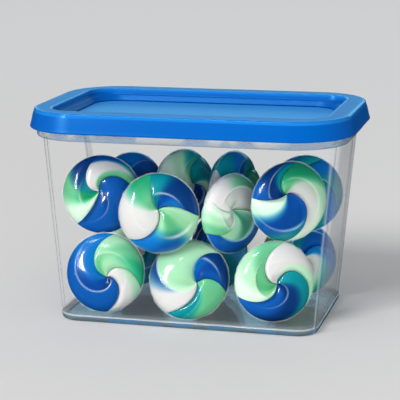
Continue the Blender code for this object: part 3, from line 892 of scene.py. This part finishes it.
def chamberTree(values):
    # A box whose X runs from hub to rim and whose Y runs clockwise from seam to seam is
    # wrapped into one comma of the swirl; its Z becomes the two domed faces
    seamLabels = [f"{end} {part}" for end in ("Start", "End") for part in ("Rim", "Twist", "Curl")]
    foldLabels = ["Fold " + part for part in ("Base", "Slope", "Strength", "Softness")]
    dyeLabels = [f"{row} {end}" for row in ("Hub", "Rim") for end in ("Start", "Middle", "End")]
    inputs = {
        "Float": [*seamLabels, *foldLabels, "Outer Radius", "Half Thickness", "Wobble", "Seed"],
        "Int": ["Around"],
        "Vector": ["Hub", *dyeLabels],
    }
    tree, given = startTree("swirlChamber", inputs)
    links = {"Vertices X": values["rings"], "Vertices Y": given["Around"], "Vertices Z": 2}
    box = addNode(tree, "GeometryNodeMeshCube", None, links)
    position = addNode(tree, "GeometryNodeInputPosition")
    spot = addNode(tree, "ShaderNodeSeparateXYZ", None, [position])
    along = addNode(tree, mathKind, add, [spot.outputs[0], 0.5])
    across = addNode(tree, mathKind, add, [spot.outputs[1], 0.5])
    side = addNode(tree, mathKind, {"operation": "SIGN"}, [spot.outputs[2]])

    # rings crowd towards the rim, where the dome falls away
    quarter = addNode(tree, mathKind, multiply, [along, math.pi / 2])
    reach = addNode(tree, mathKind, sine, [quarter])
    outer = given["Outer Radius"]
    links = {"Value": reach, "To Min": values["hubRadius"] * mm, "To Max": outer}
    radius = addNode(tree, rangeKind, None, links)
    share = addNode(tree, mathKind, divide, [radius, outer])

    # each seam curls clockwise on its way to the rim
    slack = addNode(tree, mathKind, divide, [values["chamberGap"] * mm, radius])
    seams = []
    for end, away in (("Start", subtract), ("End", add)):
        curl = addNode(tree, mathKind, power, [share, given[end + " Curl"]])
        left = addNode(tree, mathKind, subtract, [1.0, curl])
        turned = addNode(tree, mathKind, multiply, [left, given[end + " Twist"]])
        seam = addNode(tree, mathKind, add, [given[end + " Rim"], turned])
        seams.append(addNode(tree, mathKind, away, [seam, slack]))
    links = {"Value": across, "To Min": seams[0], "To Max": seams[1]}
    angle = addNode(tree, rangeKind, None, links)
    rayX = addNode(tree, mathKind, cosine, [angle])
    rayZ = addNode(tree, mathKind, sine, [angle])
    ray = addNode(tree, combineKind, None, {0: rayX, 2: rayZ})
    reached = addNode(tree, vectorKind, scaled, {0: ray, "Scale": radius})
    inward = addNode(tree, mathKind, subtract, [1.0, share])
    offset = addNode(tree, vectorKind, scaled, {0: given["Hub"], "Scale": inward})
    flat = addNode(tree, vectorKind, add, [reached, offset])

    # dome over the whole face, dimple at the hub, and each comma's leading side lying over
    # the trailing side of the one before
    distance = addNode(tree, vectorKind, {"operation": "LENGTH"}, [flat])
    out = addNode(tree, mathKind, divide, [distance.outputs["Value"], outer])
    squared = addNode(tree, mathKind, multiply, [out, out])
    under = addNode(tree, mathKind, {**subtract, "use_clamp": True}, [1.0, squared])
    dome = addNode(tree, mathKind, {"operation": "SQRT"}, [under])
    offSeam = addNode(tree, rangeKind, None, {"Value": across, "To Min": -1.0, "To Max": 1.0})
    crest = 1.0
    for end, sign in (("lead", -1.0), ("trail", 1.0)):
        toSeam = addNode(tree, mathKind, {**multiply, "use_clamp": True}, [offSeam, sign])
        falloff = addNode(tree, mathKind, power, [toSeam, values[end + "Power"]])
        drop = addNode(tree, mathKind, multiply, [falloff, values[end + "Depth"]])
        crest = addNode(tree, mathKind, subtract, [crest, drop])
    nearHub = addNode(tree, mathKind, divide, [radius, values["dimpleRadius"] * mm])
    nearSquared = addNode(tree, mathKind, power, [nearHub, 2.0])
    nearMinus = addNode(tree, mathKind, multiply, [nearSquared, -1.0])
    well = addNode(tree, mathKind, exponent, [nearMinus])
    links = {"Value": well, "To Min": 1.0, "To Max": 1.0 - values["dimple"]}
    dimple = addNode(tree, rangeKind, None, links)

    # no two pods are filled alike: a slow wobble, only ever inwards
    sheet = addNode(tree, combineKind, None, [along, across, side])
    scale = values["wobbleScale"]
    links = {"Vector": sheet, "W": given["Seed"], "Scale": scale, "Detail": 1.0}
    noise = addNode(tree, noiseKind, seeded, links)
    lost = addNode(tree, mathKind, multiply, [noise, given["Wobble"]])

    # the film is drawn in along a curve: a fine raised fold, and the filling a step lower
    # on the hub side of it
    sloped = addNode(tree, mathKind, multiply, [across, given["Fold Slope"]])
    foldShare = addNode(tree, mathKind, add, [sloped, given["Fold Base"]])
    pastFold = addNode(tree, mathKind, subtract, [share, foldShare])
    wide, narrow = values["foldWidths"]
    taper = addNode(tree, rangeKind, None, {"Value": across, "To Min": wide, "To Max": narrow})
    inWidths = addNode(tree, mathKind, divide, [pastFold, taper])
    widthSquared = addNode(tree, mathKind, power, [inWidths, 2.0])
    widthMinus = addNode(tree, mathKind, multiply, [widthSquared, -1.0])
    bell = addNode(tree, mathKind, exponent, [widthMinus])
    fadeIn, fadeOut, inside = (
        addNode(tree, rangeKind, smoothStep, {"Value": value, "From Min": low, "From Max": high})
        for value, (low, high) in (
            (across, values["foldFadeIn"]),
            (across, values["foldFadeOut"]),
            (inWidths, values["terraceWidths"]),
        )
    )
    fade = addNode(tree, mathKind, multiply, [fadeIn, fadeOut])
    strength = addNode(tree, mathKind, multiply, [fade, given["Fold Strength"]])
    low, high = values["foldPatches"]
    faintest = values["foldFaintest"]
    links = {"Value": noise, "From Min": low, "From Max": high, "To Min": faintest}
    patchy = addNode(tree, rangeKind, None, links)
    pulled = addNode(tree, mathKind, multiply, [strength, patchy])
    fold = addNode(tree, mathKind, multiply, [bell, pulled])
    risen = addNode(tree, mathKind, multiply, [fold, values["foldRise"]])
    sunk = addNode(tree, mathKind, multiply, [inside, strength])
    stepped = addNode(tree, mathKind, multiply, [sunk, values["terrace"]])

    filled = addNode(tree, mathKind, subtract, [1.0, lost])
    filled = addNode(tree, mathKind, subtract, [filled, stepped])
    filled = addNode(tree, mathKind, add, [filled, risen])
    for factor in (dome, crest, dimple):
        filled = addNode(tree, mathKind, multiply, [filled, factor])
    deep = addNode(tree, mathKind, multiply, [filled, given["Half Thickness"]])
    depth = addNode(tree, mathKind, maximum, [deep, values["edge"] * mm / 2])
    outward = addNode(tree, mathKind, multiply, [depth, side])
    raised = addNode(tree, combineKind, None, {1: outward})
    target = addNode(tree, vectorKind, add, [flat, raised])

    # colour runs from seam to seam by way of the middle, and from hub to rim; it mixes as
    # dyes do, in the logarithm, so white meets blue by way of azure and not of lilac
    rows = []
    for row in ("Hub", "Rim"):
        dye = given[row + " Start"]
        for end, (low, high) in (("Middle", values["middleColour"]), ("End", values["endColour"])):
            links = {"Value": across, "From Min": low, "From Max": high}
            blend = addNode(tree, rangeKind, smoothStep, links)
            links = {"Factor": blend, "A": dye, "B": given[f"{row} {end}"]}
            dye = addNode(tree, mixKind, mixVector, links).outputs["Result"]
        rows.append(dye)
    rimward = given["Fold Softness"]
    hubward = addNode(tree, mathKind, multiply, [rimward, -1.0])
    links = {"Value": pastFold, "From Min": hubward, "From Max": rimward}
    blend = addNode(tree, rangeKind, smoothStep, links)
    dye = addNode(tree, mixKind, mixVector, {"Factor": blend, "A": rows[0], "B": rows[1]})
    dyes = addNode(tree, "ShaderNodeSeparateXYZ", None, [dye.outputs["Result"]])
    channels = {i: addNode(tree, mathKind, exponent, [dyes.outputs[i]]) for i in range(3)}
    gel = addNode(tree, combineKind, None, channels)
    # fold and sunk also carry the painted highlight and the painted shade of the gel's colour
    geometry = box
    for name, kind, value in (
        ("gelColour", "FLOAT_COLOR", gel),
        ("fill", "FLOAT", filled),
        ("fold", "FLOAT", fold),
        ("sunk", "FLOAT", sunk),
    ):
        settings = {"data_type": kind, "domain": "POINT"}
        links = {0: geometry, "Name": name, "Value": value}
        geometry = addNode(tree, "GeometryNodeStoreNamedAttribute", settings, links)
    wrapped = addNode(tree, "GeometryNodeSetPosition", None, {0: geometry, "Position": target})
    finishTree(tree, given, wrapped)
    return tree


def flangeTree(values):
    # the film's sealed edge: a thin flat ring, rippled where the heat drew it
    labels = ("Inner Radius", "Outer Radius", "Film Thickness", "Ripple", "Draw", "Seed")
    tree, given = startTree("filmFlange", {"Float": labels})
    inner, outer = given["Inner Radius"], given["Outer Radius"]
    total = addNode(tree, mathKind, add, [inner, outer])
    middle = addNode(tree, mathKind, multiply, [total, 0.5])
    width = addNode(tree, mathKind, subtract, [outer, inner])
    links = {"Resolution": values["flangeSteps"], "Radius": middle}
    ring = addNode(tree, "GeometryNodeCurvePrimitiveCircle", {"mode": "RADIUS"}, links)
    links = {"Width": width, "Height": given["Film Thickness"]}
    strip = addNode(tree, "GeometryNodeCurvePrimitiveQuadrilateral", {"mode": "RECTANGLE"}, links)
    links = {"Curve": ring, "Profile Curve": strip}
    band = addNode(tree, "GeometryNodeCurveToMesh", None, links)
    spot = addNode(tree, "GeometryNodeInputPosition")
    scale = values["flangeRippleScale"]
    links = {"Vector": spot, "W": given["Seed"], "Scale": scale, "Detail": 1.0}
    noise = addNode(tree, noiseKind, seeded, links)
    centred = addNode(tree, mathKind, subtract, [noise, 0.5])
    lift = addNode(tree, mathKind, multiply, [centred, given["Ripple"]])
    # its outline is drawn in here and there, never out
    low, high = values["flangeDrawRange"]
    links = {"Value": noise, "From Min": low, "From Max": high, "To Max": given["Draw"]}
    drawn = addNode(tree, rangeKind, None, links)
    minus = addNode(tree, mathKind, multiply, [drawn, -1.0])
    inwards = addNode(tree, vectorKind, scaled, {0: spot, "Scale": minus})
    raised = addNode(tree, combineKind, None, {2: lift})
    shift = addNode(tree, vectorKind, add, [inwards, raised])
    rippled = addNode(tree, "GeometryNodeSetPosition", None, {0: band, "Offset": shift})
    links = {0: rippled, "Rotation": (math.pi / 2, 0.0, 0.0)}
    finishTree(tree, given, addNode(tree, "GeometryNodeTransform", None, links))
    return tree


def growPiece(name, tree, inputs, material):
    # run a tree on an empty mesh, then keep only the plain mesh that comes out
    holder = bpy.data.objects.new(name + "_holder", bpy.data.meshes.new(name + "_holder"))
    bpy.context.scene.collection.objects.link(holder)
    modifier = holder.modifiers.new("grow", "NODES")
    modifier.node_group = tree
    for item in tree.interface.items_tree:
        if item.in_out == "INPUT" and item.name in inputs:
            modifier[item.identifier] = inputs[item.name]
    depsgraph = bpy.context.evaluated_depsgraph_get()
    mesh = bpy.data.meshes.new_from_object(holder.evaluated_get(depsgraph), depsgraph=depsgraph)
    mesh.name = name
    bpy.data.objects.remove(holder)
    bm = bmesh.new()
    bm.from_mesh(mesh)
    if bm.calc_volume(signed=True) < 0:
        bmesh.ops.reverse_faces(bm, faces=bm.faces[:])
        bm.to_mesh(mesh)
    bm.free()
    return pieceFromMesh(name, mesh, material, sharpAngle=60)


def makeGel(name, gel, film):
    # Liquid detergent under polyvinyl alcohol film: dense colour that pales where the filling thins
    # out, with painted shade where it sits a step lower and a painted highlight along each fold,
    # under the wet gloss of the taut film
    scatter, roughness, sunkShadeTint, foldHighlightTint = gel
    material, tree, shader = startMaterial(name)
    dye = addNode(tree, attributeKind, {"attribute_name": "gelColour"}).outputs["Color"]
    fill, fold, sunk = (
        addNode(tree, attributeKind, {"attribute_name": mark}).outputs["Fac"]
        for mark in ("fill", "fold", "sunk")
    )
    low, high = film["thinRange"]
    links = {"Value": fill, "From Min": low, "From Max": high, "To Max": film["thinMost"]}
    thin = addNode(tree, rangeKind, smoothStep, links)
    # the fold is a painted highlight, and the sunk side a painted shade
    lit = addNode(tree, rangeKind, None, {"Value": fold, "To Max": film["foldHighlightMost"]})
    colour = dye
    for way, factor, tint in (
        ("SCREEN", thin, dye),
        ("MULTIPLY", sunk, hexToLinear(sunkShadeTint)),
        ("MIX", lit, hexToLinear(foldHighlightTint)),
    ):
        links = {"Factor": factor, "A": colour, "B": tint}
        colour = addNode(tree, mixKind, {**mixColour, "blend_type": way}, links).outputs["Result"]
    place = addNode(tree, placeKind).outputs["Object"]
    links = {"Vector": place, "Scale": 1000 / film["creaseSize"], "Detail": 2.0}
    crease = addNode(tree, noiseKind, None, links)
    strength, height = film["creaseRelief"]
    links = {"Height": crease, "Strength": strength, "Distance": height * mm}
    bump = addNode(tree, bumpKind, None, links)
    finish = {
        "Base Color": colour,
        "Roughness": roughness,
        "Subsurface Weight": scatter,
        "Subsurface Scale": film["scatterDepth"] * mm,
        "Specular IOR Level": film["specular"],
        "Coat Weight": film["coat"],
        "Coat Roughness": film["coatRoughness"],
        "Coat IOR": film["coatIor"],
        "Coat Normal": bump,
        "Normal": bump,
    }
    setInputs(shader, finish)
    return material


def makeFilm(values):
    # Polyvinyl alcohol film, cast and heat sealed: clear, supple and shiny, seen mostly by
    # the light that catches its edge
    material, _, shader = startMaterial("polyvinylAlcoholFilm")
    finish = {
        "Base Color": hexToLinear(values["colour"]),
        "Roughness": values["roughness"],
        "Alpha": values["alpha"],
        "IOR": values["ior"],
    }
    setInputs(shader, finish)
    return material


def makePods(values, table):
    gels = {
        name: makeGel(name + "DetergentGel", gel, filmValues) for name, gel in gelValues.items()
    }
    film = makeFilm(filmValues)
    chamber = chamberTree(values)
    flange = flangeTree(values)
    palette = {}
    for name, colour in gelColours.items():
        channels = [max(channel, values["leastColour"]) for channel in hexToLinear(colour)[:3]]
        palette[name] = Vector([math.log(channel) for channel in channels])
    outer = values["diameter"] / 2 * mm
    podSeed, chamberSeed = values["wobbleSeeds"]
    for number, (lean, yaw, hub, chambers) in table.items():
        node = f"pod_{number:02d}"
        low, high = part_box(node + "_film")
        tip = Matrix.Rotation(math.radians(-lean), 4, "X")
        turn = Matrix.Rotation(math.radians(yaw), 4, "Z") @ tip
        place = {"Turn": turn.to_euler(), "Place": (low + high) / 2}
        for k, (gel, seam, hubColours, rimColours, *ownFold) in enumerate(chambers):
            inputs = {
                "Hub": Vector((hub[0], 0, hub[1])) * outer,
                "Outer Radius": outer,
                "Half Thickness": values["thickness"] / 2 * mm,
                "Wobble": values["wobble"],
                "Seed": number * podSeed + k * chamberSeed,
                "Around": values["around"],
                "Material": gels[gel],
                **place,
            }
            # a chamber ends where the next one starts, further round clockwise
            nextRim, *nextBend = chambers[(k + 1) % len(chambers)][1]
            if nextRim > seam[0]:
                nextRim -= fullTurn
            for end, (rim, twist, curl) in (("Start", seam), ("End", (nextRim, *nextBend))):
                inputs[end + " Rim"] = math.radians(rim)
                inputs[end + " Twist"] = math.radians(twist)
                inputs[end + " Curl"] = curl
            fold = ownFold[0] if ownFold else values["folds"][gel]
            for label, value in zip(("Base", "Slope", "Strength", "Softness"), fold):
                inputs["Fold " + label] = value
            for row, tones in (("Hub", hubColours), ("Rim", rimColours)):
                for end, tone in zip(("Start", "Middle", "End"), tones.split()):
                    inputs[f"{row} {end}"] = palette[tone]
            piece = growPiece(f"{node}_gel_{k + 1}", chamber, inputs, gels[gel])
            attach(piece, "tub")
            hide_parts(f"{node}_chamber_{k + 1}")
        inputs = {
            "Inner Radius": values["flangeInner"] * mm,
            "Outer Radius": values["flangeOuter"] * mm,
            "Film Thickness": values["flangeThickness"] * mm,
            "Ripple": values["flangeRipple"] * mm,
            "Draw": values["flangeDraw"],
            "Seed": number * values["flangeSeed"],
            "Material": film,
            **place,
        }
        piece = growPiece(f"{node}_film_edge", flange, inputs, film)
        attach(piece, "tub")
        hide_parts(f"{node}_film")


makePods(podValues, podTable)
print("pods are made")
